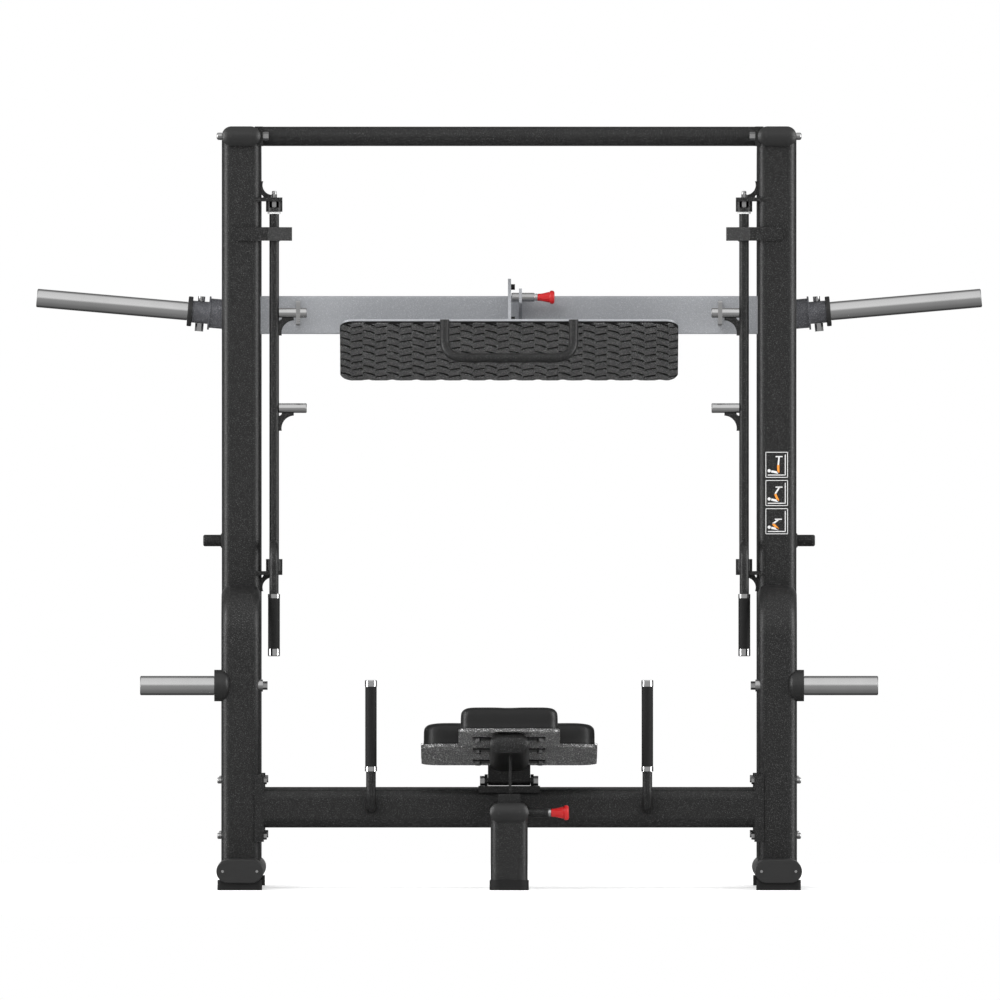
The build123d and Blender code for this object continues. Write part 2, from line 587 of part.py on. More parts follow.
def carriage():
    housing_low = carriage_z - housing_tall / 2
    housing_high = carriage_z + housing_tall / 2
    outer = rod((side_x, rod_y, housing_low), (side_x, rod_y, housing_high), housing_dia)
    housing = outer - rod((side_x, rod_y, housing_low), (side_x, rod_y, housing_high), bearing_dia)
    housing = chamfer(housing.edges().filter_by(GeomType.CIRCLE), 1)
    add("bearing_housings", both(housing))
    bearings = []
    for z in (housing_low + 4, housing_high - 4 - bearing_long):
        bearing = rod((side_x, rod_y, z), (side_x, rod_y, z + bearing_long), bearing_dia)
        bearing -= rod((side_x, rod_y, z), (side_x, rod_y, z + bearing_long),
                       rod_dia + 2 * running_gap)
        bearings += both(bearing)
    add("linear_bearings", bearings)

    low = (-side_x + 30, rod_y - beam_deep / 2, carriage_z - beam_tall / 2)
    high = (side_x - 30, rod_y + beam_deep / 2, carriage_z + beam_tall / 2)
    beam = block(low, high)
    beam = fillet(beam.edges().filter_by(Axis.X), 4)
    inside = block((low[0], low[1] + beam_wall, low[2] + beam_wall),
                   (high[0], high[1] - beam_wall, high[2] - beam_wall))
    beam = beam - inside - outer - mirror(outer, Plane.YZ)
    add("carriage_beam", beam)

    sleeve = rod(on_horn(side_x + 10), on_horn(772), housing_dia)
    sleeve += rod(on_horn(flange_x), on_horn(flange_x + flange_thick), flange_dia)
    sleeve += rod(on_horn(flange_x + 3), on_horn(ring_x), sleeve_dia)
    horn = rod(on_horn(ring_end + root_relief), on_horn(horn_tip), horn_dia)
    horn = chamfer(horn.edges().sort_by(Axis.X)[-1], horn_tip_chamfer)
    horn += rod(on_horn(horn_root), on_horn(ring_end + root_relief), horn_root_dia)
    bolt_x, _, bolt_z = on_horn(horn_bolt_x)
    lean = math.sin(tilt)
    top = (bolt_x - 41 * lean, rod_y, bolt_z + 41)
    bottom = (bolt_x + 49 * lean, rod_y, bolt_z - 49)
    under = (bolt_x + 28.5 * lean, rod_y, bolt_z - 28.5)
    over = (bolt_x - 28.5 * lean, rod_y, bolt_z + 28.5)
    bolt = rod(bottom, over, horn_bolt_dia) + rod(over, top, 18)
    bolt += hexagon(bottom, under, horn_nut)
    sleeve -= rod(on_horn(horn_root), on_horn(ring_end), horn_root_dia)
    ring = rod(on_horn(ring_x), on_horn(ring_end), ring_dia)
    ring = fillet(ring.edges().filter_by(GeomType.CIRCLE), 2)
    ring -= rod(on_horn(ring_x - 7), on_horn(ring_end + 11), horn_root_dia)
    add("horn_sleeves", both(sleeve - outer - bolt))
    add("weight_horns", both(horn - bolt - outer))
    add("horn_stop_rings", both(ring))
    add("horn_bolts", both(bolt))


def catch_hooks():
    # A hook reaches over the upper catch pin and down in front of it, open at the back.
    front = rod_y - beam_deep / 2
    lip_front = upright_y - pin_dia / 2 - 0.5 - hook_lip
    over_pin = pin_high + pin_dia / 2 + 0.3
    outline = [(front, hook_low), (front, hook_high), (lip_front, hook_high),
               (lip_front, hook_low), (lip_front + hook_lip, hook_low),
               (lip_front + hook_lip, over_pin), (front - 48, over_pin), (front - 48, hook_low)]
    hook = profile(outline, hook_x - hook_thick / 2, hook_x + hook_thick / 2)
    hook = fillet(hook.edges().filter_by(Axis.X).group_by(Axis.Y)[0], 4)
    add("catch_hooks", both(hook))


def foot_plate_brackets():
    # Hinge ears under the beam and the plate that carries the pull pin.
    beam_low, front = carriage_z - beam_tall / 2, rod_y - beam_deep / 2
    ears = []
    for x in ear_places:
        low_x, high_x = x - ear_thick / 2, x + ear_thick / 2
        ear = block((low_x, tilt_y - ear_dia / 2, tilt_z), (high_x, tilt_y + ear_dia / 2, beam_low))
        ear += rod((low_x, tilt_y, tilt_z), (high_x, tilt_y, tilt_z), ear_dia)
        ears += both(ear - rod((low_x - 4, tilt_y, tilt_z), (high_x + 4, tilt_y, tilt_z),
                               tilt_pin_dia + 2 * running_gap))
    plate = profile([(front, pin_plate_base), (front, pin_plate_high),
                     (foot_pin_y - pin_plate_ahead, pin_plate_high),
                     (foot_pin_y - pin_plate_ahead, pin_plate_low)], pin_plate_x, pin_plate_end)
    barrel, plunger, knob = pull_pin(foot_pin_y, foot_pin_z, sector_high_x + pin_gap,
                                     foot_pin_sizes)
    hole = rod((pin_plate_x - 5, foot_pin_y, foot_pin_z), (pin_plate_end + 7, foot_pin_y, foot_pin_z),
               foot_pin_sizes[-1])
    add("foot_plate_brackets", ears, plate - hole)
    add("foot_pin_barrel", barrel)
    add("foot_pin_plunger", plunger)
    add("foot_pin_knob", knob)


def foot_plate():
    # Built flat, its top face on XY and its front edge at y 0, then tilted.
    def tilted(piece):
        return Pos(0, plate_front, plate_top) * Rot(-plate_tilt, 0, 0) * piece

    outline = Pos(0, plate_long / 2) * RectangleRounded(plate_wide, plate_long, plate_corner)
    plate = extrude(outline, -plate_thick)
    tread = extrude(Plane(origin=(0, 0, -plate_thick)) * outline, -tread_thick)
    plate, tread = tilted(plate), tilted(tread)

    barrels = []
    for side in (1, -1):
        x_low, x_high = sorted((side * barrel_low_x, side * barrel_high_x))
        barrel = rod((x_low, tilt_y, tilt_z), (x_high, tilt_y, tilt_z), tilt_barrel_dia)
        barrel += block((x_low, tilt_y - barrel_foot / 2, tilt_z - 30),
                        (x_high, tilt_y + barrel_foot / 2, tilt_z))
        barrel -= rod((x_low - 1, tilt_y, tilt_z), (x_high + 1, tilt_y, tilt_z), tilt_pin_dia)
        below = tilted(block((-500, -200, -100), (500, 500, 0)))
        barrels.append(barrel - below)
    pins = []
    for x in (hinge_pin_start, -hinge_pin_start - hinge_pin_long):
        pins.append(rod((x, tilt_y, tilt_z), (x + hinge_pin_long, tilt_y, tilt_z), tilt_pin_dia))

    sector = ring_slice(tilt_y, tilt_z, foot_sector_root, foot_reach + sector_half,
                        foot_sector_low, foot_angle)
    arm = ring_slice(tilt_y, tilt_z, foot_reach - sector_half, foot_reach + sector_half,
                     foot_angle - 1, foot_sector_high)
    sector = side_extrude(sector, sector_low_x, sector_high_x)
    sector += side_extrude(arm, sector_low_x, sector_high_x)
    sector -= tilted(block((-500, -300, -100), (500, 500, 0)))
    for step in range(foot_pin_steps):
        angle = math.radians(foot_angle - step * foot_hole_step)
        y, z = tilt_y - foot_reach * math.cos(angle), tilt_z + foot_reach * math.sin(angle)
        sector -= rod((-9, y, z), (9, y, z), pin_hole_dia)
    bumpers = []
    for angle, dia in ((foot_stop_angle, foot_stop_dia), (foot_bumper_angle, foot_bumper_dia)):
        angle = math.radians(angle)
        y, z = tilt_y - foot_reach * math.cos(angle), tilt_z + foot_reach * math.sin(angle)
        bumpers.append(rod((sector_high_x, y, z), (sector_high_x + foot_bumper_long, y, z), dia))
    add("foot_plate", plate, barrels)
    add("tread_mat", tread)
    add("foot_hinge_pins", pins)
    add("foot_plate_sector", sector)
    add("sector_bumpers", bumpers)
    foot_plate_handle(tilted)


def foot_plate_handle(tilted):
    # A U-shaped grab bar under the front edge, bent down and forward from the plate.
    corners = [(bar_span, -bar_ahead, -bar_top), (bar_span, -bar_ahead, -bar_drop),
               (-bar_span, -bar_ahead, -bar_drop), (-bar_span, -bar_ahead, -bar_top)]
    bar = bent(Circle(bar_dia / 2), corners, bar_bend)
    front = block((-500, 0, -100), (500, 500, 5))
    bar = bar - front
    over_edge = block((-500, -400, plate_top - 1), (500, 400, plate_top + 100))
    add("foot_plate_handle", tilted(bar) - over_edge)


# ---- catch levers ------------------------------------------------------------

def lever(sign):
    def side(piece):
        return piece if sign > 0 else mirror(piece, Plane.YZ)

    shaft = rod((lever_x, upright_y, lever_low), (lever_x, upright_y, lever_high), lever_dia)
    hollow = rod((lever_x, upright_y, lever_low + 30), (lever_x, upright_y, lever_high - 30), 19)
    solid_shaft = shaft
    corners = [(lever_x, upright_y, handle_knee_z), (lever_x, upright_y - handle_arm, handle_knee_z),
               (lever_x, upright_y - handle_arm, grip_low - 2)]
    handle = bent(Circle(handle_dia / 2), corners, handle_bend)
    shaft = shaft + handle
    bores = rod((lever_x, upright_y, lever_low), (lever_x, upright_y, lever_high),
                lever_bolt_dia + 2 * running_gap)
    shaft = shaft - hollow - bores

    # The strap lies on the upright's face, then turns back to meet the shaft.
    back = upright_y - tube_deep / 2 - 0.4
    turn, end, lean = strap_turn, strap_inner, math.radians(strap_lean)
    rise = (turn - end) * math.tan(lean)
    outline = Polyline((strap_outer, back), (turn, back), (end, back + rise),
                       (end - strap_thick * math.sin(lean), back + rise - strap_thick * math.cos(lean)),
                       (turn - strap_thick * math.tan(lean / 2), back - strap_thick),
                       (strap_outer, back - strap_thick), close=True)
    strap = extrude(Pos(0, 0, strap_low) * make_face(outline), strap_tall)
    strap = fillet(strap.edges().filter_by(Axis.Y).group_by(Axis.X)[-1], 9) - solid_shaft
    gussets, pins = [], []
    for z in (pin_high, pin_low):
        pin = rod((lever_x, upright_y, z), (pin_tip, upright_y, z), pin_dia)
        pin = chamfer(pin.edges().sort_by(Axis.X)[0], 1.5)
        face = block((lever_x - lever_dia / 2, upright_y - lever_dia, z - pin_dia),
                     (lever_x, upright_y, z + pin_dia))
        pins.append(side(pin - solid_shaft - face))
        gusset = corner_gusset(lever_x - lever_dia / 2, z - pin_dia / 2, -38, -46, upright_y)
        gusset += block((lever_x - lever_dia / 2 - 0.5, upright_y - 4, z - pin_dia / 2 - 46),
                        (lever_x - lever_dia / 2 + 1, upright_y + 4, z - pin_dia / 2 - 8))
        gussets.append(gusset - solid_shaft - pin)
    grip_line = upright_y - handle_arm
    sleeve = rod((lever_x, grip_line, grip_low), (lever_x, grip_line, grip_high), grip_dia)
    ring = rod((lever_x, grip_line, grip_high), (lever_x, grip_line, grip_ring_high),
               grip_end_dia)
    cap = rod((lever_x, grip_line, grip_cap_low), (lever_x, grip_line, grip_low), grip_end_dia)
    cap = fillet(cap.edges().sort_by(Axis.Z)[0], 2.5)
    name = "right" if sign > 0 else "left"
    add("lever_shaft_" + name, side(shaft), side(strap), [side(gusset) for gusset in gussets])
    add("catch_pins_" + name, pins)
    add("lever_grip_" + name, side(sleeve - handle))
    add("lever_grip_ends_" + name, side(ring - handle), side(cap - handle))


# ---- bench ---------------------------------------------------------------------

def on_bench(piece):
    # Bench pieces are built level about the pivot, then tipped with the head end up.
    return Pos(0, leg_y, pivot_z) * Rot(-bench_slope, 0, 0) * piece


def pad(wide, front, rear, corner):
    outline = Pos(0, (front + rear) / 2) * RectangleRounded(wide, rear - front, corner)
    cushion = extrude(Plane(origin=(0, 0, pad_under)) * outline, pad_thick)
    cushion = fillet(cushion.faces().sort_by(Axis.Z)[-1].edges(), pad_round)
    inset = Pos(0, (front + rear) / 2) * RectangleRounded(
        wide - 2 * board_inset, rear - front - 2 * board_inset, corner - board_inset)
    board = extrude(Plane(origin=(0, 0, pad_under)) * inset, board_thick)
    return cushion - board, board


def bench():
    middle = (bench_low + bench_high) / 2
    section = oval(bench_wide, tube_deep, tube_wall)
    tube = length_of(section, (0, bench_head, middle), (0, bench_foot, middle))
    cap = domed_cap(bench_wide, tube_deep)
    tube += Pos(0, bench_head, middle) * Rot(90, 0, 0) * cap
    tube += Pos(0, bench_foot, middle) * Rot(-90, 0, 0) * cap
    outer = length_of(oval(bench_wide, tube_deep), (0, bench_head, middle), (0, bench_foot, middle))
    lug = block((-lug_wide / 2, -lug_long / 2, 0), (lug_wide / 2, lug_long / 2, lug_tall))
    lug += rod((-lug_wide / 2, 0, 0), (lug_wide / 2, 0, 0), lug_dia)
    lug -= rod((-lug_wide, 0, 0), (lug_wide, 0, 0), pivot_dia + 2 * running_gap)
    tube += lug - outer
    head, head_board = pad(head_wide, head_front, head_rear, head_corner)
    back, back_board = pad(back_wide, back_front, back_rear, back_corner)
    plates, bolts = [], []
    for v in cross_places:
        plate = block((-cross_wide / 2, v - cross_long / 2, bench_high),
                      (cross_wide / 2, v + cross_long / 2, pad_under))
        for x in (-pad_bolt_x, pad_bolt_x):
            for dv in (-pad_bolt_step, pad_bolt_step):
                bolt = rod((x, v + dv, bench_high), (x, v + dv, pad_under + 6), pad_bolt_dia)
                bolt += hexagon((x, v + dv, bench_high - 7), (x, v + dv, bench_high),
                                pad_bolt_head)
                bolts.append(bolt)
                plate -= bolt
        plates.append(plate)
    for bolt in bolts:
        head_board -= bolt
        back_board -= bolt
    add("bench_tube", on_bench(tube))
    add("bench_cross_plates", [on_bench(plate) for plate in plates])
    add("pad_bolts", [on_bench(bolt) for bolt in bolts])
    add("pad_boards", on_bench(head_board), on_bench(back_board))
    add("head_pad", on_bench(head))
    add("back_pad", on_bench(back))

    sector = side_extrude(ring_slice(leg_y, pivot_z, pin_reach - bench_sector_half,
                                     pin_reach + bench_sector_half,
                                     bench_sector_low, bench_sector_high),
                          bench_sector_low_x, bench_sector_high_x)
    for step in range(bench_pin_steps):
        angle = math.radians(pin_angle - step * bench_hole_step)
        y, z = leg_y - pin_reach * math.cos(angle), pivot_z + pin_reach * math.sin(angle)
        sector -= rod((-9, y, z), (19, y, z), pin_hole_dia)
    add("bench_sector", sector - on_bench(outer))


side_frames()
screws = rail_ends()
rubber_feet()
tube_caps()
add("front_crossbeam", crossbeam(leg_y, leg_solid))
add("rear_crossbeam", crossbeam(rear_y, rear_solid))
add("top_tie_bar", top_tie_bar())
storage_bolt = storage_horns()
guide_rods()
travel_stops()
lever_bolts = lever_brackets()
floor_grips()
pivot_bolt = bench_support()
add("frame_bolts", [both(bolt) for bolt in side_bolts + screws + lever_bolts], both(storage_bolt),
    pivot_bolt)
carriage()
catch_hooks()
foot_plate_brackets()
foot_plate()
lever(1)
lever(-1)
bench()

os.makedirs("parts", exist_ok=True)
for name, solids in nodes.items():
    export_step(Compound(children=solids), f"parts/{name}.step")
print(len(nodes), "nodes written")
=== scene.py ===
import json
import math
import random

import bmesh
import bpy
from mathutils import Matrix, Vector


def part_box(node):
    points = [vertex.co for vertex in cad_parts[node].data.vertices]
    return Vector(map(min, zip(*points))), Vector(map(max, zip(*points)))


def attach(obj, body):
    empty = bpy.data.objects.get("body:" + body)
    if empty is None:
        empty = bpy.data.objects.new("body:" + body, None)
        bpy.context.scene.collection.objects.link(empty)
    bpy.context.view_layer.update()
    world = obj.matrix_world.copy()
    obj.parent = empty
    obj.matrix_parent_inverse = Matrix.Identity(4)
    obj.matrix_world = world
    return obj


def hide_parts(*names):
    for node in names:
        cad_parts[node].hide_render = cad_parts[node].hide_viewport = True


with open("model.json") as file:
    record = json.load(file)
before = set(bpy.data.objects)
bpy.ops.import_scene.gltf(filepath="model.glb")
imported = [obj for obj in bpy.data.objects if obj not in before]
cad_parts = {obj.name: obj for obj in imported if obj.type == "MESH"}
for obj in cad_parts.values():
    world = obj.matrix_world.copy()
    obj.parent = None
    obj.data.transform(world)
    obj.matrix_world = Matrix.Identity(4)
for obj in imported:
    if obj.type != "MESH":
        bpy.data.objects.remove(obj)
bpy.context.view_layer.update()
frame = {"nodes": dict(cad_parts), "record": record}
nodes = frame["nodes"]
chance = random.Random(7)
print("frame loaded,", len(nodes), "nodes")


class Wire:
    # a socket in a node tree; sums on it add Math nodes
    def __init__(self, tree, socket):
        self.tree = tree
        self.socket = socket

    def sum(self, operation, *values):
        return self.tree.add("ShaderNodeMath", {"operation": operation}, dict(enumerate(values)))

    def __add__(self, other):
        return self.sum("ADD", self, other)

    def __sub__(self, other):
        return self.sum("SUBTRACT", self, other)

    def __rsub__(self, other):
        return self.sum("SUBTRACT", other, self)

    def __mul__(self, other):
        return self.sum("MULTIPLY", self, other)

    __radd__ = __add__
    __rmul__ = __mul__


class Shade:
    # the nodes of one tree, and short ways to add the usual ones
    def __init__(self, tree):
        self.tree = tree

    def add(self, kind, settings=None, inputs=None, out=0):
        node = self.tree.nodes.new(kind)
        for key, value in (settings or {}).items():
            if key == "stops":
                ramp = node.color_ramp
                while len(ramp.elements) < len(value):
                    ramp.elements.new(0.5)
                for element, (place, shade) in zip(ramp.elements, value):
                    element.position = place
                    element.color = shade if isinstance(shade, tuple) else (shade, shade, shade, 1)
            else:
                setattr(node, key, value)
        for key, value in (inputs or {}).items():
            if isinstance(value, Wire):
                self.tree.links.new(value.socket, node.inputs[key])
            else:
                node.inputs[key].default_value = value
        return Wire(self, node.outputs[out]) if node.outputs else None

    def place(self):
        return self.add("ShaderNodeTexCoord", out="Object")

    def noise(self, scale, detail=2.0, rough=0.5, where=None):
        return self.add("ShaderNodeTexNoise", {},
                        {"Vector": where or self.place(), "Scale": scale, "Detail": detail,
                         "Roughness": rough})

    def ramp(self, value, *stops):
        return self.add("ShaderNodeValToRGB", {"stops": stops}, {"Fac": value})

    def blend(self, factor, first, second):
        return self.add("ShaderNodeMix", {"data_type": "RGBA"}, {0: factor, 6: first, 7: second},
                        out=2)


class Finish(Shade):
    # one material and its Principled shader
    def __init__(self, name, **base):
        self.material = bpy.data.materials.new(name)
        self.material.use_nodes = True
        super().__init__(self.material.node_tree)
        self.shader = self.tree.nodes["Principled BSDF"]
        for socket, value in base.items():
            self.shader.inputs[socket.replace("_", " ")].default_value = value

    def feed(self, socket, wire):
        self.tree.links.new(wire.socket, self.shader.inputs[socket])

    def bump(self, height, strength, distance):
        bumped = self.add("ShaderNodeBump", {}, {"Strength": strength, "Distance": distance,
                                                 "Height": height})
        self.feed("Normal", bumped)


def grey(level, alpha=1.0):
    return (level, level, level, alpha)


# materials

def powderCoat(name, paint):
    # sprayed texture paint: fine orange peel, tiny bright flecks, soft mottling
    f = Finish(name, Metallic=paint["metal"], Specular_IOR_Level=paint["shine"])
    where = f.add("ShaderNodeMapping", {},
                  {"Vector": f.place(), "Scale": paint.get("stretch", (1.0, 1.0, 1.0))})
    peel = f.noise(paint["grain"], 3.0, 0.6, where)
    flecks = f.ramp(f.noise(paint["grain"] * 1.35, 1.0, 0.4, where), *paint["fleckStops"])
    cloud = f.noise(6.0, 2.0, 0.5)
    base = f.blend(cloud, paint["dark"], paint["light"])
    mottled = f.blend(peel * 0.6, base, paint["peel"])
    f.feed("Base Color", f.blend(flecks, mottled, paint["fleck"]))
    f.feed("Roughness", peel * paint["roughSpread"] + paint["rough"])
    f.bump(peel, paint["bump"], 0.0006)
    return f.material


def chromePlate(name, metal):
    # polished bar with faint lengthwise polishing lines and a few dull smudges
    f = Finish(name, Metallic=1.0, Base_Color=metal["tone"])
    lines = f.noise(420.0, 2.0, 0.5, f.add("ShaderNodeMapping", {}, {"Vector": f.place(),
                                                                      "Scale": (0.02, 1.0, 1.0)}))
    smudge = f.ramp(f.noise(9.0, 3.0, 0.6), (0.45, grey(0.0)), (0.75, grey(1.0)))
    f.feed("Roughness", lines * metal["lines"] + smudge * metal["smudge"] + metal["rough"])
    f.feed("Base Color", f.blend(smudge * 0.5, metal["tone"], metal["dull"]))
    f.bump(lines, 0.03, 0.0004)
    return f.material


def moulded(name, plastic):
    # moulded plastic or rubber: fine leather grain, slight shade changes
    f = Finish(name, Specular_IOR_Level=plastic["shine"])
    cells = f.add("ShaderNodeTexVoronoi", {"feature": "F1"},
                  {"Vector": f.place(), "Scale": plastic["grain"]})
    cloud = f.noise(14.0, 3.0, 0.55)
    f.feed("Base Color", f.blend(cloud, plastic["dark"], plastic["light"]))
    f.feed("Roughness", cloud * plastic["roughSpread"] + plastic["rough"])
    f.bump(cells + cloud * 0.4, plastic["bump"], 0.0005)
    return f.material


def vinyl(name, hide):
    # coated fabric: pebble grain over a slow sheen change
    f = Finish(name, Specular_IOR_Level=hide["shine"])
    pebble = f.add("ShaderNodeTexVoronoi", {"feature": "SMOOTH_F1"},
                   {"Vector": f.place(), "Scale": hide["grain"]})
    crease = f.noise(38.0, 4.0, 0.6)
    f.feed("Base Color", f.blend(crease, hide["dark"], hide["light"]))
    f.feed("Roughness", crease * 0.14 + hide["rough"])
    f.bump(pebble * 0.7 + crease * 0.5, hide["bump"], 0.0006)
    return f.material


blackPaint = powderCoat("black powder coat", {
    "metal": 0.0, "shine": 0.38, "grain": 460.0, "dark": grey(0.0066), "light": grey(0.0088),
    "peel": grey(0.012), "fleck": grey(0.085), "fleckStops": ((0.6, grey(0)), (0.7, grey(1))),
    "rough": 0.3, "roughSpread": 0.2, "bump": 0.6})
silverPaint = powderCoat("silver powder coat", {
    "metal": 0.35, "shine": 0.45, "grain": 620.0, "dark": (0.37, 0.38, 0.4, 1),
    "light": (0.41, 0.42, 0.44, 1), "peel": (0.27, 0.28, 0.3, 1),
    "fleck": (0.62, 0.63, 0.65, 1), "fleckStops": ((0.6, grey(0)), (0.7, grey(1))),
    "rough": 0.38, "roughSpread": 0.2, "bump": 0.45})
sleevePaint = powderCoat("dark silver powder coat", {
    "metal": 0.5, "shine": 0.5, "grain": 620.0, "dark": (0.1, 0.102, 0.112, 1),
    "light": (0.13, 0.132, 0.142, 1), "peel": (0.07, 0.072, 0.08, 1),
    "fleck": (0.42, 0.42, 0.45, 1), "fleckStops": ((0.58, grey(0)), (0.68, grey(1))),
    "rough": 0.34, "roughSpread": 0.2, "bump": 0.5})
flakeBoard = powderCoat("speckled backing board", {
    "metal": 0.1, "shine": 0.6, "grain": 330.0, "stretch": (1.0, 0.16, 1.0),
    "dark": grey(0.055), "light": grey(0.07), "peel": grey(0.09), "fleck": grey(0.75),
    "fleckStops": ((0.6, grey(0)), (0.66, grey(1))), "rough": 0.34, "roughSpread": 0.2,
    "bump": 0.5})
treadRubber = powderCoat("tread rubber", {
    "metal": 0.0, "shine": 0.4, "grain": 460.0, "dark": grey(0.033), "light": grey(0.041),
    "peel": grey(0.046), "fleck": grey(0.36), "fleckStops": ((0.6, grey(0)), (0.68, grey(1))),
    "rough": 0.5, "roughSpread": 0.2, "bump": 0.6})
# painted shadow: near-black rubber for the faces down in the tread gaps, so the recesses read as
# shaded
gapShadowRubber = powderCoat("tread gap painted shadow", {
    "metal": 0.0, "shine": 0.15, "grain": 560.0, "dark": grey(0.004), "light": grey(0.006),
    "peel": grey(0.008), "fleck": grey(0.012), "fleckStops": ((0.62, grey(0)), (0.7, grey(1))),
    "rough": 0.7, "roughSpread": 0.2, "bump": 0.4})
chrome = chromePlate("polished chrome", {
    "tone": grey(0.72), "dull": grey(0.6), "rough": 0.08, "lines": 0.07, "smudge": 0.07})
zinc = chromePlate("zinc plated steel", {
    "tone": grey(0.56), "dull": grey(0.42), "rough": 0.2, "lines": 0.12, "smudge": 0.12})
blackPlastic = moulded("black moulded plastic", {
    "shine": 0.45, "grain": 900.0, "dark": grey(0.014), "light": grey(0.02), "rough": 0.32,
    "roughSpread": 0.2, "bump": 0.12})
blackRubber = moulded("black rubber", {
    "shine": 0.24, "grain": 700.0, "dark": grey(0.008), "light": grey(0.014), "rough": 0.52,
    "roughSpread": 0.22, "bump": 0.25})
redPlastic = moulded("red moulded plastic", {
    "shine": 0.5, "grain": 800.0, "dark": (0.42, 0.006, 0.008, 1), "light": (0.52, 0.012, 0.013, 1),
    "rough": 0.28, "roughSpread": 0.16, "bump": 0.06})
whiteNylon = moulded("white nylon", {
    "shine": 0.5, "grain": 600.0, "dark": grey(0.66), "light": grey(0.78), "rough": 0.35,
    "roughSpread": 0.15, "bump": 0.05})
padVinyl = vinyl("black pad vinyl", {
    "shine": 0.38, "grain": 1100.0, "dark": grey(0.005), "light": grey(0.009), "rough": 0.34,
    "bump": 0.2})

finishes = {"black_paint": blackPaint, "silver_paint": silverPaint, "chrome": chrome,
            "zinc_steel": zinc, "black_plastic": blackPlastic, "black_rubber": blackRubber,
            "upholstery": padVinyl, "red_plastic": redPlastic, "white_nylon": whiteNylon}
for part in frame["record"]["subparts"]:
    nodes[part["node"]].data.materials.clear()
    nodes[part["node"]].data.materials.append(finishes[part["material_slot"]])
nodes["pad_boards"].data.materials[0] = flakeBoard
nodes["horn_sleeves"].data.materials[0] = sleevePaint
print("materials given to the frame's nodes")


# mesh helpers

def newPiece(name, mesh, body, finish, slotName, *replaced):
    piece = bpy.data.objects.new(name, mesh)
    bpy.context.scene.collection.objects.link(piece)
    mesh.materials.clear()
    mesh.materials.append(finish)
    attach(piece, body)
    if replaced:
        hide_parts(*replaced)
    return piece


def meshOf(name, form, smooth=True):
    mesh = bpy.data.meshes.new(name)
    bmesh.ops.recalc_face_normals(form, faces=form.faces)
    form.to_mesh(mesh)
    form.free()
    for face in mesh.polygons:
        face.use_smooth = smooth
    return mesh


def applyAll(piece):
    # bakes the piece's modifiers into its mesh
    graph = bpy.context.evaluated_depsgraph_get()
    baked = bpy.data.meshes.new_from_object(piece.evaluated_get(graph))
    piece.modifiers.clear()
    piece.data = baked


def sloped(y, z, degrees):
    # the frame of a slab whose front edge is at (y, z) and which falls to the rear
    return Matrix.Translation((0, y, z)) @ Matrix.Rotation(math.radians(-degrees), 4, "X")


def roundedRect(width, length, radius, spacing):
    # points round a rounded rectangle, front edge on y 0
    points = []
    corners = ((1, 1, 0), (-1, 1, 90), (-1, -1, 180), (1, -1, 270))
    for sx, sy, start in corners:
        cx, cy = sx * (width / 2 - radius), length / 2 + sy * (length / 2 - radius)
        count = max(4, int(radius * math.pi / 2 / spacing))
        for step in range(count + 1):
            angle = math.radians(start + 90 * step / count)
            points.append((cx + radius * math.cos(angle), cy + radius * math.sin(angle)))
    return points


def alongLoop(points, spacing):
    # the same closed outline with evenly spaced points
    even = []
    for (ax, ay), (bx, by) in zip(points, points[1:] + points[:1]):
        run = math.hypot(bx - ax, by - ay)
        count = max(1, round(run / spacing))
        even += [(ax + (bx - ax) * i / count, ay + (by - ay) * i / count) for i in range(count)]
    return even


def tubeAlong(name, points, radius, body, finish, slotName):
    # a closed thin round cord that follows points, as a mesh
    curve = bpy.data.curves.new(name, "CURVE")
    curve.dimensions = "3D"
    curve.bevel_depth = radius
    curve.bevel_resolution = 2
    line = curve.splines.new("POLY")
    line.points.add(len(points) - 1)
    for point, place in zip(line.points, points):
        point.co = (*place, 1)
    line.use_cyclic_u = True
    holder = bpy.data.objects.new(name + "_path", curve)
    bpy.context.scene.collection.objects.link(holder)
    graph = bpy.context.evaluated_depsgraph_get()
    mesh = bpy.data.meshes.new_from_object(holder.evaluated_get(graph))
    bpy.data.objects.remove(holder)
    for face in mesh.polygons:
        face.use_smooth = True
    newPiece(name, mesh, body, finish, slotName)


# bench pads: a foam block swelled by cloth pressure, then seams

benchSlope = 6.2
padFacts = {
    "head_pad": {"width": 0.263, "length": 0.3803, "thick": 0.065, "corner": 0.03, "fill": 0.8},
    "back_pad": {"width": 0.455, "length": 0.468, "thick": 0.065, "corner": 0.05, "fill": 0.8}}
padMake = {"shrink": 0.004, "voxel": 0.006, "pressure": 4.0, "frames": 20, "cap": 0.005,
           "topRound": 0.013, "bottomRound": 0.003, "bottomInset": 0.005,
           "outlineStep": 0.006, "pointStep": 0.012, "roundSteps": 7,
           "underTall": 0.012, "underMove": 0.3, "smooth": 0.5, "smoothSteps": 6}
seamFacts = {"piping": 0.0019, "pipingInset": 0.0035, "pipingHeight": 0.0075,
             "stitch": 0.0011, "stitchInset": 0.0012, "stitchHeight": 0.0125, "stitchShare": 0.62,
             "cornerMin": 0.01, "cornerStep": 0.004, "pointStep": 0.008}


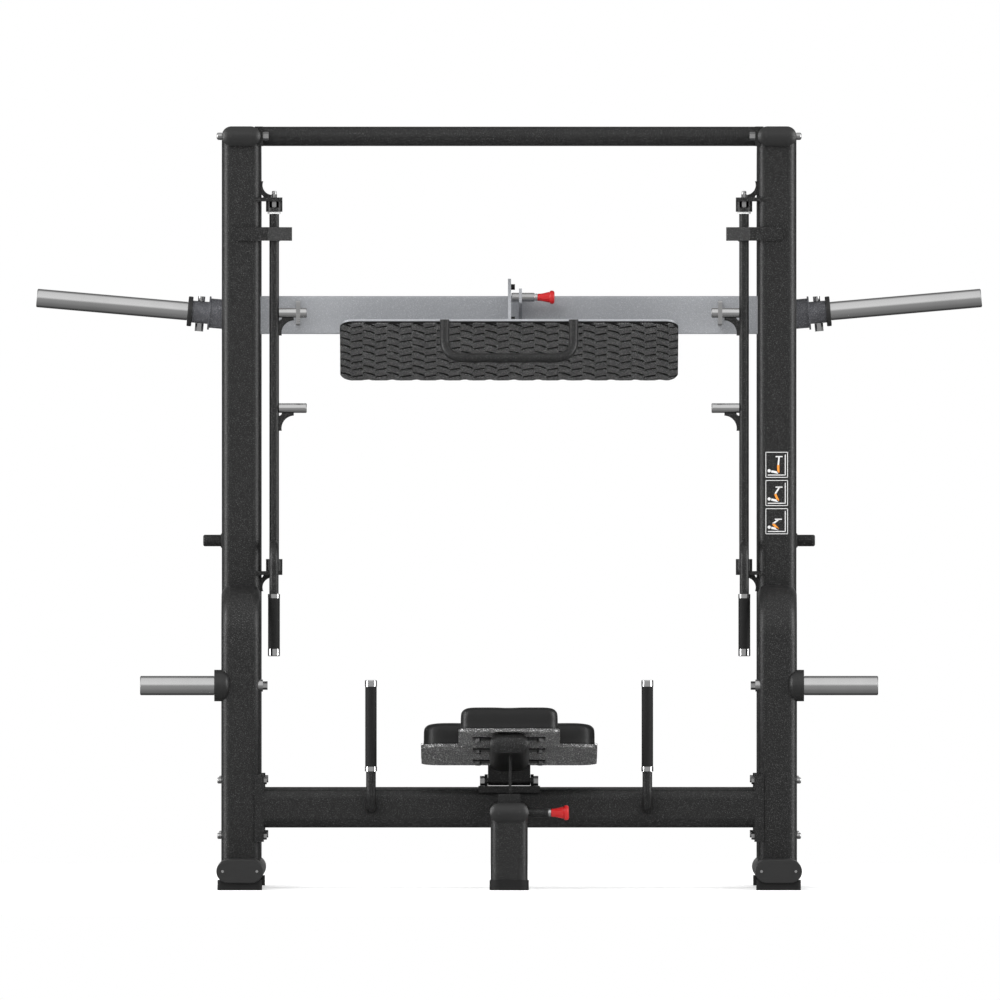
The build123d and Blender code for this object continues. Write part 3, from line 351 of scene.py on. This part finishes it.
def padBlock(facts):
    # stacked outlines from the tucked bottom edge to the rounded top edge
    form = bmesh.new()
    shrink, thick = padMake["shrink"], facts["thick"]
    levels = [(padMake["bottomInset"], shrink), (shrink + 0.001, shrink + 0.002),
              (shrink, padMake["bottomRound"] + shrink)]
    for step in range(padMake["roundSteps"]):
        angle = math.radians(90 * step / (padMake["roundSteps"] - 1))
        levels.append((shrink + padMake["topRound"] * (1 - math.cos(angle)),
                       thick - shrink - padMake["topRound"] * (1 - math.sin(angle))))
    outline = roundedRect(facts["width"], facts["length"], facts["corner"], padMake["outlineStep"])
    outline = alongLoop(outline, padMake["pointStep"])
    rings = []
    for inset, height in levels:
        sx = 1 - 2 * inset / facts["width"]
        sy = 1 - 2 * inset / facts["length"]
        middle = facts["length"] / 2
        rings.append([form.verts.new((x * sx, middle + (y - middle) * sy, height))
                      for x, y in outline])
    for low, high in zip(rings, rings[1:]):
        for i in range(len(low)):
            j = (i + 1) % len(low)
            form.faces.new((low[i], low[j], high[j], high[i]))
    form.faces.new(rings[0])
    form.faces.new(rings[-1])
    return meshOf("padBlock", form)


def swell(piece):
    # cloth with inner pressure, capped so that the pad keeps its cut size
    remesh = piece.modifiers.new("remesh", "REMESH")
    remesh.mode = "VOXEL"
    remesh.voxel_size = padMake["voxel"]
    applyAll(piece)
    start = [v.co.copy() for v in piece.data.vertices]
    cloth = piece.modifiers.new("cloth", "CLOTH")
    cloth.settings.use_pressure = True
    cloth.settings.uniform_pressure_force = padMake["pressure"]
    cloth.settings.effector_weights.gravity = 0
    cloth.point_cache.frame_end = padMake["frames"]
    for step in range(1, padMake["frames"] + 1):
        bpy.context.scene.frame_set(step)
    applyAll(piece)
    bpy.context.scene.frame_set(1)
    for vertex, home in zip(piece.data.vertices, start):
        move = vertex.co - home
        if move.length > padMake["cap"]:
            move.length = padMake["cap"]
        if home.z < padMake["underTall"]:
            move *= padMake["underMove"]   # the underside lies on its board
        vertex.co = home + move
    smooth = piece.modifiers.new("smooth", "SMOOTH")
    smooth.factor, smooth.iterations = padMake["smooth"], padMake["smoothSteps"]
    finer = piece.modifiers.new("finer", "SUBSURF")
    finer.levels = finer.render_levels = 1
    applyAll(piece)
    for face in piece.data.polygons:
        face.use_smooth = True


def padFrame(node, facts):
    # the pad's underside, whose rear edge is the node's lowest
    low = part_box(node)[0]
    rise = facts["length"] * math.sin(math.radians(benchSlope))
    return sloped(low[1], low[2] + rise, benchSlope)


def edgeLine(facts, inset, height):
    outline = roundedRect(facts["width"] - 2 * inset, facts["length"] - 2 * inset,
                          max(facts["corner"] - inset, seamFacts["cornerMin"]),
                          seamFacts["cornerStep"])
    outline = alongLoop(outline, seamFacts["pointStep"])
    return [Vector((x, y + inset, height)) for x, y in outline]


def makePad(node, facts):
    place = padFrame(node, facts)
    name = node.replace("_", "") + "_cushion"
    cushion = newPiece(name, padBlock(facts), "bench", padVinyl, "upholstery", node)
    swell(cushion)
    cushion.data.transform(place)
    cushion.data.materials.clear()
    cushion.data.materials.append(padVinyl)
    seam = edgeLine(facts, seamFacts["pipingInset"], seamFacts["pipingHeight"])
    tubeAlong(name + "_piping", [place @ point for point in seam], seamFacts["piping"], "bench",
              padVinyl, "upholstery")
    stitches(name + "_stitches", place,
             edgeLine(facts, seamFacts["stitchInset"], seamFacts["stitchHeight"]))


def stitches(name, place, line):
    # short raised stitches that follow the seam
    form = bmesh.new()
    for here, after in zip(line, line[1:] + line[:1]):
        run = after - here
        middle = (here + after) / 2
        turn = run.to_track_quat("X", "Z").to_matrix().to_4x4()
        size = Matrix.Diagonal((run.length * seamFacts["stitchShare"], seamFacts["stitch"],
                                seamFacts["stitch"], 1))
        bmesh.ops.create_uvsphere(form, u_segments=6, v_segments=4, radius=0.5,
                                  matrix=place @ Matrix.Translation(middle) @ turn @ size)
    newPiece(name, meshOf(name, form), "bench", padVinyl, "upholstery")


for node, facts in padFacts.items():
    makePad(node, facts)
print("pads swelled and seamed")


# tread mat: rubber with rows of wavy raised bars, with painted shadow down in the gaps

treadFacts = {"tilt": 25.0, "width": 0.872, "length": 0.345, "thick": 0.008, "corner": 0.035,
              "row": 0.0425, "column": 0.0315, "bar": 0.0036, "cellX": 0.0026, "cellY": 0.0015,
              "skin": 0.0044, "edge": 0.0015, "fall": (0.68, 0.28, 0.8), "climb": (0.4, 1.7),
              "gap": (0.15, 0.14), "gapFloor": 0.35, "gapRamp": 0.6, "taper": 0.3,
              "shadowShare": 0.4, "startX": 0.44}


def treadHeight(x, y):
    # columns of curved bars; the gaps sweep down in one column and up in the next
    facts = treadFacts
    place = (x + facts["startX"]) / facts["column"]
    along = place % 1.0
    if int(place) % 2:
        start, drop, power = facts["fall"]
        sweep = start - drop * along ** power
    else:
        climb, power = facts["climb"]
        sweep = climb * along ** power
    step = (y / facts["row"] - sweep) % 1.0
    gap = facts["gap"][0] + facts["gap"][1] * along
    if step <= gap * facts["gapFloor"]:
        return 0.0
    rise = min(step / gap, (1.0 - step) / (gap * facts["gapRamp"]), 1.0)
    return facts["bar"] * rise * (1.0 - facts["taper"] * step)


def treadMat():
    facts = treadFacts
    low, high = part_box("tread_mat")
    tilt = math.radians(facts["tilt"])
    front = low[1] + facts["thick"] * math.sin(tilt)
    place = sloped(front, high[2], facts["tilt"])
    half, length, corner = facts["width"] / 2, facts["length"], facts["corner"]
    columns, rows = round(facts["width"] / facts["cellX"]), round(length / facts["cellY"])
    form = bmesh.new()
    under, over = [], []
    for j in range(rows + 1):
        y = length * j / rows
        near = max(corner - y, corner - (length - y), 0)
        reach = half - corner + math.sqrt(max(corner ** 2 - near ** 2, 0))
        line = []
        for i in range(columns + 1):
            x = reach * (2 * i / columns - 1)
            inside = min(reach - abs(x), y, length - y)
            edge = min(max(inside / facts["edge"], 0), 1)
            lift = treadHeight(x, y) * edge
            line.append(form.verts.new((x, y, -facts["skin"] - lift)))
        under.append(line)
        over.append([form.verts.new((x, y, 0)) for x in (-reach, reach)])
    for j in range(rows):
        for i in range(columns):
            form.faces.new((under[j][i], under[j][i + 1], under[j + 1][i + 1], under[j + 1][i]))
        form.faces.new((over[j][0], over[j][1], over[j + 1][1], over[j + 1][0]))
        form.faces.new((over[j][0], over[j + 1][0], under[j + 1][0], under[j][0]))
        form.faces.new((over[j][1], over[j + 1][1], under[j + 1][-1], under[j][-1]))
    form.faces.new([over[0][0], *under[0], over[0][1]])
    form.faces.new([over[-1][0], *under[-1], over[-1][1]])
    mesh = meshOf("treadMat", form, smooth=False)
    piece = newPiece("treadMat_wavy", mesh, "foot_plate", treadRubber, "black_rubber",
                     "tread_mat")
    # faces low in the gaps take the near-black second material: painted shadow in the recesses
    # between the bars
    mesh.materials.append(gapShadowRubber)
    deepest = -facts["skin"] - facts["shadowShare"] * facts["bar"]
    for face in mesh.polygons:
        if face.normal.z < 0.2 and deepest < face.center.z < -0.001:
            face.material_index = 1
    piece.data.transform(place)


treadMat()
print("tread mat moulded")


# turned details: knobs, threaded barrels and weld beads

def lathe(name, start, way, profile, sides=48, flutes=None):
    # turns (distance, radius) pairs about a line from start
    form = bmesh.new()
    turn = Vector(way).to_track_quat("X", "Z").to_matrix()
    rings = []
    for run, radius in profile:
        ring = []
        for i in range(sides):
            angle = 2 * math.pi * i / sides
            reach = radius * (1 + flutes(run, angle)) if flutes else radius
            spot = Vector((run, reach * math.cos(angle), reach * math.sin(angle)))
            ring.append(form.verts.new(Vector(start) + turn @ spot))
        rings.append(ring)
    for low, high in zip(rings, rings[1:]):
        for i in range(sides):
            j = (i + 1) % sides
            form.faces.new((low[i], low[j], high[j], high[i]))
    form.faces.new(rings[0])
    form.faces.new(rings[-1])
    return meshOf(name, form)


knobFacts = {"neck": 0.0068, "flare": 0.0105, "waist": 0.0098, "rim": 0.0132, "flutes": 10,
             "depth": 0.045}
pullPins = {"foot_pin": ("foot_plate_pin", "carriage", zinc, "zinc_steel"),
            "bench_pin": ("bench_pin", "frame", blackPaint, "black_paint")}
threadFacts = {"pitch": 0.0022, "rise": 0.0006, "root": 0.0002, "start": 0.002, "end": 0.004}


def knob(pin, body):
    # a trumpet with shallow flutes and a beaded rim
    low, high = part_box(pin + "_knob")
    facts = knobFacts
    size = (high[2] - low[2]) / 2 / facts["rim"]
    length = high[0] - low[0]
    centre = (low[0], (low[1] + high[1]) / 2, (low[2] + high[2]) / 2)
    profile = [(0, facts["neck"] * 0.9), (0.03, facts["neck"]), (0.1, facts["neck"] * 1.04)]
    for step in range(1, 8):
        t = step / 7
        profile.append((0.1 + 0.56 * t,
                        facts["neck"] + (facts["flare"] - facts["neck"]) * t ** 1.3))
    profile += [(0.7, facts["waist"]), (0.73, facts["rim"] * 0.9), (0.78, facts["rim"] * 0.98),
                (0.85, facts["rim"]), (0.92, facts["rim"] * 0.97), (0.97, facts["rim"] * 0.88),
                (1.0, facts["rim"] * 0.7)]
    profile = [(run * length, radius * size) for run, radius in profile]

    def fluted(run, angle):
        inside = 0.1 < run / length < 0.68
        return -facts["depth"] * (0.5 + 0.5 * math.cos(facts["flutes"] * angle)) * inside

    mesh = lathe(pin + "_knobBody", centre, (1, 0, 0), profile, 80, fluted)
    newPiece(pin + "_fluted", mesh, body, redPlastic, "red_plastic", pin + "_knob")


def thread(pin, body, finish, slotName):
    # rings of a fine thread round the barrel
    low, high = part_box(pin + "_barrel")
    centre = ((low[1] + high[1]) / 2, (low[2] + high[2]) / 2)
    radius = min(high[1] - low[1], high[2] - low[2]) / 2
    pitch, rise = threadFacts["pitch"], threadFacts["rise"]
    profile, run = [], low[0] + threadFacts["start"]
    while run < high[0] - threadFacts["end"]:
        profile += [(run, radius - threadFacts["root"]), (run + pitch * 0.5, radius + rise)]
        run += pitch
    mesh = lathe(pin + "_threadBody", (0, *centre), (1, 0, 0), profile, 40)
    newPiece(pin + "_thread", mesh, body, finish, slotName)


for pin, (body, base, finish, slotName) in pullPins.items():
    knob(pin, body)
    thread(pin, base, finish, slotName)
print("knobs and threads turned")


weldFacts = {"bead": 0.0032, "step": 0.0036, "spread": 0.12, "peg": (0.7405, 0.096, 0.8945),
             "pegRadius": 0.0158, "strap": (0.5925, -0.0775), "strapEnds": (1.6675, 1.7005)}


def weldBead(name, points, body, finish, slotName, closed=True):
    # overlapping ripples of weld metal along points, painted over
    form = bmesh.new()
    ends = points[1:] + points[:1] if closed else points[1:]
    for here, after in zip(points, ends):
        run = Vector(after) - Vector(here)
        count = max(1, round(run.length / weldFacts["step"]))
        for i in range(count):
            size = weldFacts["bead"] * (1 + chance.uniform(-1, 1) * weldFacts["spread"])
            spot = Vector(here) + run * (i / count)
            bmesh.ops.create_uvsphere(form, u_segments=8, v_segments=6, radius=size,
                                      matrix=Matrix.Translation(spot))
    newPiece(name, meshOf(name, form), body, finish, slotName)


def ringPoints(centre, way, radius, count=24):
    turn = Vector(way).to_track_quat("Z", "Y").to_matrix()
    return [Vector(centre) + turn @ Vector((radius * math.cos(2 * math.pi * i / count),
                                            radius * math.sin(2 * math.pi * i / count), 0))
            for i in range(count)]


for side, sign in (("left", -1), ("right", 1)):
    pegX, pegY, pegZ = weldFacts["peg"]
    weldBead("stopPeg_weld_" + side,
             ringPoints((sign * pegX, pegY, pegZ), (1, 0, 0), weldFacts["pegRadius"]),
             "frame", blackPaint, "black_paint")
    # strap ends, welded to the lever's shaft
    strapX, strapY = weldFacts["strap"]
    weldBead("strap_weld_" + side, [(sign * strapX, strapY, z) for z in weldFacts["strapEnds"]],
             "catch_lever_" + side, blackPaint, "black_paint", closed=False)
print("welds laid")


# instruction plate: plain pictograms, no lettering

plateFacts = {"x": (0.661, 0.717), "z": (0.912, 1.122), "thick": 0.0004, "line": 0.0024,
              "gap": 0.008, "head": (0.0085, 0.017, 0.0042), "neck": (0.014, 0.0155),
              "hip": (0.032, 0.012), "ground": (0.005, 0.006), "push": (0.009, 0.0015),
              "post": 0.006,
              "legs": ((-0.014, 0.014, 0.0, 0.024), (-0.008, 0.018, 0.002, 0.034),
                       (0.0, 0.02, 0.002, 0.04))}
plateWhite = moulded("printed white", {
    "shine": 0.3, "grain": 900.0, "dark": grey(0.6), "light": grey(0.72), "rough": 0.5,
    "roughSpread": 0.1, "bump": 0.03})
plateOrange = moulded("printed orange", {
    "shine": 0.3, "grain": 900.0, "dark": (0.75, 0.24, 0.03, 1), "light": (0.85, 0.32, 0.05, 1),
    "rough": 0.5, "roughSpread": 0.1, "bump": 0.03})


def printed(name, shapes, finish):
    # flat shapes just proud of the upright's face
    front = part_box("front_uprights")[0][1] - 0.0002
    form = bmesh.new()
    for shape in shapes:
        back = [form.verts.new((x, front, z)) for x, z in shape]
        face = [form.verts.new((x, front - plateFacts["thick"], z)) for x, z in shape]
        form.faces.new(face)
        form.faces.new(back)
        for i in range(len(shape)):
            j = (i + 1) % len(shape)
            form.faces.new((back[i], back[j], face[j], face[i]))
    newPiece(name, meshOf(name, form, smooth=False), "frame", finish, "white_nylon")


def bar(ax, az, bx, bz, wide):
    run = Vector((bx - ax, bz - az))
    side = Vector((-run.y, run.x)).normalized() * wide / 2
    return [(ax + side.x, az + side.y), (bx + side.x, bz + side.y),
            (bx - side.x, bz - side.y), (ax - side.x, az - side.y)]


def disc(x, z, radius, count=20):
    return [(x + radius * math.cos(2 * math.pi * i / count),
             z + radius * math.sin(2 * math.pi * i / count)) for i in range(count)]


def panelFrame(left, low, right, high, line):
    # a thin outline round one pictogram
    return [bar(left, low, right, low, line), bar(left, high, right, high, line),
            bar(left, low, left, high, line), bar(right, low, right, high, line)]


def instructionPlate():
    # three framed pictograms: a lying figure with its knees bent, half bent and straight
    left, right = plateFacts["x"]
    low, high = plateFacts["z"]
    line, gap = plateFacts["line"], plateFacts["gap"]
    headX, headZ, headSize = plateFacts["head"]
    neckX, neckZ = plateFacts["neck"]
    groundX, groundZ = plateFacts["ground"]
    pushX, pushZ = plateFacts["push"]
    post = right - plateFacts["post"]
    tall = (high - low - 2 * gap) / 3
    white, orange = [], []
    for row, (kneeX, kneeZ, footX, footZ) in enumerate(plateFacts["legs"]):
        base = low + row * (tall + gap)
        white += panelFrame(left, base, right, base + tall, line * 0.7)
        hipX, hipZ = left + plateFacts["hip"][0], base + plateFacts["hip"][1]
        plateZ = hipZ + footZ + pushZ
        white += [disc(left + headX, base + headZ, headSize),
                  bar(left + neckX, base + neckZ, hipX, hipZ, line * 2.4),
                  bar(left + groundX, base + groundZ, right - groundX, base + groundZ, line),
                  bar(hipX + footX - pushX, plateZ, hipX + footX + pushX, plateZ, line * 1.2),
                  bar(post, base + groundZ, post, base + tall - groundZ, line),
                  bar(hipX + kneeX, hipZ + kneeZ, hipX + footX, hipZ + footZ, line * 1.7)]
        orange.append(bar(hipX, hipZ, hipX + kneeX, hipZ + kneeZ, line * 2.4))
    printed("instructionPlate_lines", white, plateWhite)
    printed("instructionPlate_patches", orange, plateOrange)


instructionPlate()
print("instruction plate printed")


# floor, lights and camera

studio = {"floor": 7.0, "floorTone": 0.9, "floorGlow": 0.35,
          "floorDrop": 0.0005, "lens": 1500.0, "away": 107.37,
          "aim": (-0.0235, 0.999), "clip": (10.0, 500.0), "sensor": 36.0, "world": 1.0,
          "frontGlow": ((0.0, 0.9), (0.05, 0.3), (0.12, 0.15), (0.22, 0.17), (0.33, 0.42),
                        (0.5, 0.85), (1.0, 0.9)),
          "heightGlow": ((0.0, 0.22), (0.18, 0.32), (0.45, 0.38), (0.52, 0.48), (0.6, 0.8),
                         (0.67, 0.95), (1.0, 0.9))}
studioLights = (("frontKey", (-1.5, -5.5, 4.6), (3.5, 2.5), 190, False),
                ("leftStrip", (-5.0, -1.2, 2.0), (1.4, 4.2), 150, True),
                ("rightStrip", (5.0, -1.2, 2.0), (1.4, 4.2), 140, True),
                ("backFill", (0.0, 5.5, 4.5), (4.0, 2.0), 130, False))


def studioFloor():
    form = bmesh.new()
    reach = studio["floor"]
    corners = [form.verts.new((x, y, -studio["floorDrop"])) for x, y in
               ((-reach, -reach), (reach, -reach), (reach, reach), (-reach, reach))]
    form.faces.new(corners)
    mesh = meshOf("studioFloor", form, smooth=False)
    floor = bpy.data.objects.new("studioFloor", mesh)
    bpy.context.scene.collection.objects.link(floor)
    paint = Finish("pale floor", Specular_IOR_Level=0.1, Roughness=0.9,
                   Emission_Color=grey(1.0), Emission_Strength=studio["floorGlow"])
    tone = studio["floorTone"]
    paint.feed("Base Color", paint.blend(paint.noise(2.0), grey(tone), grey(tone + 0.02)))
    mesh.materials.append(paint.material)
    floor.visible_glossy = False


def softLight(name, place, aim, size, power, mirrored):
    light = bpy.data.lights.new(name, "AREA")
    light.shape = "RECTANGLE"
    light.size, light.size_y = size
    light.energy = power
    lamp = bpy.data.objects.new(name, light)
    lamp.location = place
    lamp.visible_glossy = mirrored
    lamp.rotation_euler = (Vector(aim) - Vector(place)).to_track_quat("-Z", "Y").to_euler()
    bpy.context.scene.collection.objects.link(lamp)


def studioWorld():
    # bright in front and above, dark behind and below, plain white to the camera
    world = bpy.data.worlds.new("soft room")
    world.use_nodes = True
    bpy.context.scene.world = world
    world.node_tree.nodes.clear()
    room = Shade(world.node_tree)
    way = room.add("ShaderNodeTexCoord", out="Generated")
    depth = room.add("ShaderNodeSeparateXYZ", {}, {0: way}, out="Y")
    height = room.add("ShaderNodeSeparateXYZ", {}, {0: way}, out="Z")
    front = room.ramp(0.5 - depth * 0.5, *studio["frontGlow"])
    above = room.ramp(height * 0.5 + 0.5, *studio["heightGlow"])
    tone = room.add("ShaderNodeMix", {"data_type": "RGBA", "blend_type": "MULTIPLY"},
                    {0: 1.0, 6: front, 7: above}, out=2)
    lit = room.add("ShaderNodeBackground", {}, {"Color": tone, "Strength": studio["world"]})
    seen = room.add("ShaderNodeBackground", {}, {"Color": grey(1.0)})
    eye = room.add("ShaderNodeLightPath", out="Is Camera Ray")
    room.add("ShaderNodeOutputWorld", {},
             {"Surface": room.add("ShaderNodeMixShader", {}, {0: eye, 1: lit, 2: seen})})


def studioCamera():
    lens = bpy.data.cameras.new("frontCamera")
    lens.lens = studio["lens"]
    lens.sensor_width = studio["sensor"]
    lens.clip_start, lens.clip_end = studio["clip"]
    camera = bpy.data.objects.new("frontCamera", lens)
    camera.location = (studio["aim"][0], -studio["away"], studio["aim"][1])
    camera.rotation_euler = (math.radians(90), 0, 0)
    bpy.context.scene.collection.objects.link(camera)
    bpy.context.scene.camera = camera


studioFloor()
studioWorld()
for name, place, size, power, mirrored in studioLights:
    softLight(name, place, (0, 0, 1.0), size, power, mirrored)
studioCamera()
bpy.context.scene.view_settings.view_transform = "Standard"
bpy.context.scene.view_settings.look = "None"
print("floor, lights and camera set")
